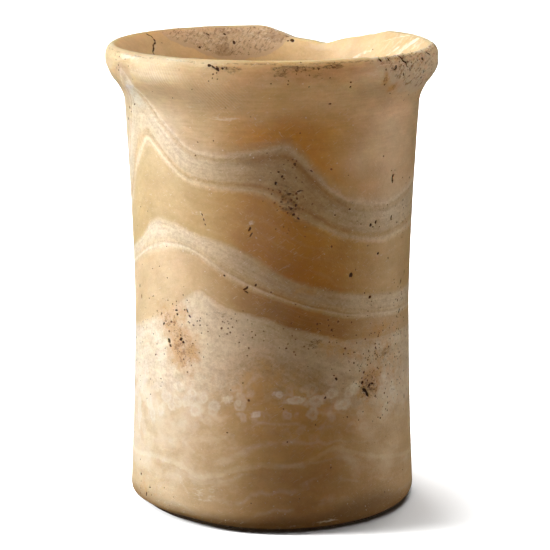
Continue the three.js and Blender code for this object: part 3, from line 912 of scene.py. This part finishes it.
def add_lip_marks(tree, colour, place, noises, fields):
    """Pale streaks across the inside of the lip, and slanting grinding marks outside, also handed back."""
    waves = add(tree, "ShaderNodeMapRange", (noises["fibre"], 0.5, 0.62), interpolation_type="SMOOTHSTEP")
    streaks = add(tree, "ShaderNodeMath", (waves, fields["streaks"]), operation="MULTIPLY")
    streaks = add(tree, "ShaderNodeMath", (streaks, 0.5), operation="MULTIPLY")
    colour = add(tree, "ShaderNodeMix", {0: streaks, 6: colour, 7: linear("FBF1E0")}, 2, data_type="RGBA")
    slanted = add(tree, "ShaderNodeMapping", {"Vector": place, "Rotation": (0.0, 0.62, 0.5)})
    scratch = add(tree, "ShaderNodeTexWave", {
        "Vector": slanted, "Scale": 1 / 3.0, "Distortion": 2.5, "Detail": 3.0, "Detail Scale": 1.0,
    }, out="Fac", bands_direction="X")
    scratch = add(tree, "ShaderNodeMapRange", (scratch, 0.8, 1.0), interpolation_type="SMOOTHSTEP")
    hatch = add(tree, "ShaderNodeMath", (scratch, fields["hatch"]), operation="MULTIPLY")
    faint = add(tree, "ShaderNodeMath", (hatch, 0.7), operation="MULTIPLY")
    colour = add(tree, "ShaderNodeMix", {0: faint, 6: colour, 7: linear("F6EEDD")}, 2, data_type="RGBA")
    return colour, hatch


def add_coats(tree, colour, noises):
    """Stone of the rough bed, stains, chalky wear and dirt, a dark line under the crest, stain and painted
    shade at the foot and a painted highlight along the crest, with how much any of them covers.
    """
    covered = 0.0
    for name, noise, part, low, high, strength, code in COATS:
        field = add(tree, "ShaderNodeAttribute", out="Fac", attribute_name=name)
        amount = add(tree, "ShaderNodeMath", (noises[noise], part, field), operation="MULTIPLY_ADD")
        amount = add(tree, "ShaderNodeMapRange", (amount, low, high, 0.0, strength),
                     interpolation_type="SMOOTHSTEP")
        colour = add(tree, "ShaderNodeMix", {0: amount, 6: colour, 7: linear(code)}, 2, data_type="RGBA")
        covered = add(tree, "ShaderNodeMath", (covered, amount), operation="MAXIMUM")
    return colour, covered


def add_pits(tree, colour, place, noises, fields):
    """White flecks, and open pits: the large ones in their places, fine ones where the stone is pitted."""
    bent_place = add(tree, "ShaderNodeTexNoise", {"Vector": place, "Scale": 1 / 0.8, "Detail": 2.0},
                     out="Color")
    bent_place = add(tree, "ShaderNodeVectorMath", (bent_place, (0.5, 0.5, 0.5), place),
                     operation="MULTIPLY_ADD")
    placed = add(tree, "ShaderNodeMapRange", (fields["pit"], 0.93, 0.99), interpolation_type="SMOOTHSTEP")
    holes = placed
    in_groups = add(tree, "ShaderNodeMapRange", (noises["cloud"], 0.43, 0.6, 0.25, 1.5))
    pitted = add(tree, "ShaderNodeMath", (fields["pitted"], in_groups), operation="MULTIPLY")
    for cell, size, least in FINE_PITS:
        cells = add(tree, "ShaderNodeTexVoronoi", {"Vector": bent_place, "Scale": 1 / cell}, out="Distance")
        chance = add(tree, "ShaderNodeSeparateColor", (cells.node.outputs["Color"],))
        share_of_cells = add(tree, "ShaderNodeMath", (pitted, least), operation="ADD")
        chosen = add(tree, "ShaderNodeMath", (chance, share_of_cells), operation="LESS_THAN")
        hole = add(tree, "ShaderNodeMapRange", (cells, size / cell, 0.45 * size / cell, 0.0, 0.95),
                   interpolation_type="SMOOTHSTEP")
        hole = add(tree, "ShaderNodeMath", (hole, chosen), operation="MULTIPLY")
        holes = add(tree, "ShaderNodeMath", (holes, hole), operation="MAXIMUM")
    flecks = add(tree, "ShaderNodeTexVoronoi", {"Vector": bent_place, "Scale": 1 / FLECKS_APART},
                 out="Distance")
    chance = add(tree, "ShaderNodeSeparateColor", (flecks.node.outputs["Color"],), 1)
    chosen = add(tree, "ShaderNodeMath", (chance, 0.16), operation="LESS_THAN")
    flecks = add(tree, "ShaderNodeMapRange", (flecks, 0.15, 0.06, 0.0, 0.5), interpolation_type="SMOOTHSTEP")
    flecks = add(tree, "ShaderNodeMath", (flecks, chosen), operation="MULTIPLY")
    colour = add(tree, "ShaderNodeMix", {0: flecks, 6: colour, 7: linear("F8F0E2")}, 2, data_type="RGBA")
    tint = add(tree, "ShaderNodeMix", {0: placed, 6: linear("5C3008"), 7: linear("482408")}, 2,
               data_type="RGBA")
    darkened = add(tree, "ShaderNodeMath", (holes, 0.95), operation="MULTIPLY")
    colour = add(tree, "ShaderNodeMix", {0: darkened, 6: colour, 7: tint}, 2, data_type="RGBA")
    return colour, holes


def travertine():
    """Egyptian travertine, ground, polished and long buried: clear honey layers between milky white ones,
    with a soft polish, open pits and ingrained dirt. The eye reads it as stone that light enters."""
    material = bpy.data.materials.new("travertine_banded_worn_polish")
    material.use_nodes = True
    tree = material.node_tree
    tree.nodes.clear()

    # Object coordinates are in metres, and the patterns are sized in millimetres.
    objects = add(tree, "ShaderNodeTexCoord", out="Object")
    place = add(tree, "ShaderNodeVectorMath", {0: objects, "Scale": 1 / MM}, operation="SCALE")
    noises = stone_noises(tree, place)
    fields = {}
    for name in ("layer", "pit", "deep_and_shaded", "globule", "globular", "pitted", "hatch", "streaks", "turned"):
        fields[name] = add(tree, "ShaderNodeAttribute", out="Fac", attribute_name=name)
    waver = add(tree, "ShaderNodeMath", (noises["patch"], 0.5), operation="SUBTRACT")

    colour, milky = strata_colour(tree, noises, fields, waver)
    colour = add_growth_lines(tree, colour, place, noises, fields)
    colour = add_globules(tree, colour, place, fields, waver)
    colour = add_grain(tree, colour, place, noises, fields, milky)
    colour, hatch = add_lip_marks(tree, colour, place, noises, fields)
    colour, covered = add_coats(tree, colour, noises)
    colour, holes = add_pits(tree, colour, place, noises, fields)

    gloss = add(tree, "ShaderNodeMapRange", (noises["patch"], 0.3, 0.7, 0.38, 0.52))
    dulled = add(tree, "ShaderNodeMath", (covered, holes), operation="MAXIMUM")
    gloss = add(tree, "ShaderNodeMath", (dulled, 0.28, gloss), operation="MULTIPLY_ADD")

    # Relief too fine for the form: grain, fine pits and scratches, in millimetres
    relief = add(tree, "ShaderNodeMath", (noises["speck"], 0.16), operation="MULTIPLY")
    for part, height in ((noises["grain"], 0.09), (noises["turning"], 0.05), (holes, -0.2), (hatch, -0.05)):
        relief = add(tree, "ShaderNodeMath", (part, height, relief), operation="MULTIPLY_ADD")
    bump = add(tree, "ShaderNodeBump", {"Strength": 0.6, "Distance": MM, "Height": relief})

    # Light goes deep into the clear stone and less deep into the milky one.
    reach = add(tree, "ShaderNodeMapRange", (milky, 0.0, 1.0, REACH_IN_CLEAR * MM, REACH_IN_MILKY * MM))
    shader = add(tree, "ShaderNodeBsdfPrincipled", {
        "Base Color": colour, "Roughness": gloss, "Normal": bump, "IOR": 1.57,
        "Specular IOR Level": 0.35,
        "Subsurface Weight": 0.85, "Subsurface Radius": (1.0, 0.68, 0.36), "Subsurface Scale": reach,
    })
    output = tree.nodes.new("ShaderNodeOutputMaterial")
    tree.links.new(shader, output.inputs["Surface"])
    return material


# The camera, solved on the outline of the photograph: focal length, frame and the column of the jar's axis in
# pixels, distance in front of the jar and height in metres, and downward pitch in degrees
FOCAL_PIXELS = 2263.3
FRAME_PIXELS = 550
AXIS_PIXEL = 271.9
CAMERA_DISTANCE = 0.7224
CAMERA_HEIGHT = 0.2322
CAMERA_PITCH = 12.40


def plain(name, code, roughness):
    """A plain painted surface for the studio."""
    material = bpy.data.materials.new(name)
    material.use_nodes = True
    shader = material.node_tree.nodes["Principled BSDF"]
    shader.inputs["Base Color"].default_value = linear(code)
    shader.inputs["Roughness"].default_value = roughness
    return material


def light(name, azimuth, elevation, distance, size, watts, aim=(0, 0, 0.08), code="FFFFFF", spread=180):
    """A soft box turned to the jar, at an azimuth from the front and an elevation, with its beam's spread."""
    data = bpy.data.lights.new(name, "AREA")
    data.shape = "RECTANGLE"
    data.size, data.size_y = size
    data.energy = watts
    data.color = linear(code)[:3]
    data.spread = math.radians(spread)
    box = bpy.data.objects.new(name, data)
    turn, rise = math.radians(azimuth), math.radians(elevation)
    box.location = (aim[0] + distance * math.cos(rise) * math.sin(turn),
                    aim[1] - distance * math.cos(rise) * math.cos(turn),
                    aim[2] + distance * math.sin(rise))
    box.rotation_euler = (math.pi / 2 - rise, 0, turn)
    bpy.context.scene.collection.objects.link(box)
    return box


def studio(jar):
    """A pale floor, soft boxes at both sides and a camera where the photograph was taken from."""
    bpy.ops.mesh.primitive_plane_add(size=9.0)
    floor = bpy.context.object
    floor.name = "studio_floor"
    floor.data.materials.append(plain("floor_matt_white", "F4F4F4", 0.9))
    floor.visible_diffuse = False
    floor.visible_glossy = False

    on_jar = (
        light("key", -90, 29, 1.2, (0.42, 2.2), 30),
        light("fill", 104, 10, 1.2, (0.5, 1.0), 6.4, code="FFF2E0"),
        light("front", 0, 2, 1.6, (1.4, 1.0), 2.3, code="FFEAD0"),
        light("low", 0, -35, 1.4, (1.2, 1.0), 1.2, code="FFEAD0"),
        light("near_lip", -12, -28, 0.30, (0.12, 0.12), 0.019, aim=(0, 0, 0.142), code="FFF3E0", spread=44),
        light("above_mouth", 0, 90, 0.05, (0.05, 0.05), 0.019, aim=(0.010, 0.012, 0.15), code="FFEBD2"),
    )
    on_floor = (
        light("side_floor", -90, 30, 3.0, (0.6, 0.6), 168, aim=(0, 0, 0)),
        light("high_floor", -90, 52, 4.0, (1.2, 1.2), 161, aim=(0, 0, 0)),
        light("behind_floor", -150, 83, 4.0, (1.0, 1.0), 145, aim=(0, 0, 0)),
        light("far_floor", -150, 72, 4.0, (1.2, 1.2), 60, aim=(0, 0, 0)),
        light("right_floor", 150, 60, 4.0, (1.6, 1.6), 50, aim=(0, 0, 0)),
        light("front_floor", 0, 60, 4.0, (1.6, 1.6), 37, aim=(0, 0, 0)),
    )
    for name, lights, item in (("lit_jar", on_jar, jar), ("lit_floor", on_floor, floor)):
        group = bpy.data.collections.new(name)
        bpy.context.scene.collection.children.link(group)
        group.objects.link(item)
        for box in lights:
            box.light_linking.receiver_collection = group
    only_jar = bpy.data.collections["lit_jar"]
    for box in on_jar:
        box.light_linking.blocker_collection = only_jar

    world = bpy.data.worlds.new("studio_white")
    world.use_nodes = True
    background = world.node_tree.nodes["Background"]
    background.inputs["Color"].default_value = (1, 1, 1, 1)
    background.inputs["Strength"].default_value = 0.01
    bpy.context.scene.world = world

    camera_data = bpy.data.cameras.new("camera")
    camera = bpy.data.objects.new("camera", camera_data)
    camera_data.sensor_width = 36.0
    camera_data.lens = FOCAL_PIXELS / FRAME_PIXELS * camera_data.sensor_width
    camera_data.clip_start = 0.01
    pan = math.atan((FRAME_PIXELS / 2 - AXIS_PIXEL) / FOCAL_PIXELS)
    camera.location = (0, -CAMERA_DISTANCE, CAMERA_HEIGHT)
    camera.rotation_euler = (math.radians(90 - CAMERA_PITCH), 0, -pan)
    bpy.context.scene.collection.objects.link(camera)
    bpy.context.scene.camera = camera
    bpy.context.scene.view_settings.view_transform = "Standard"


jar = make_jar()
jar.data.materials.append(travertine())
studio(jar)
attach(jar, "root")
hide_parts(NODE)
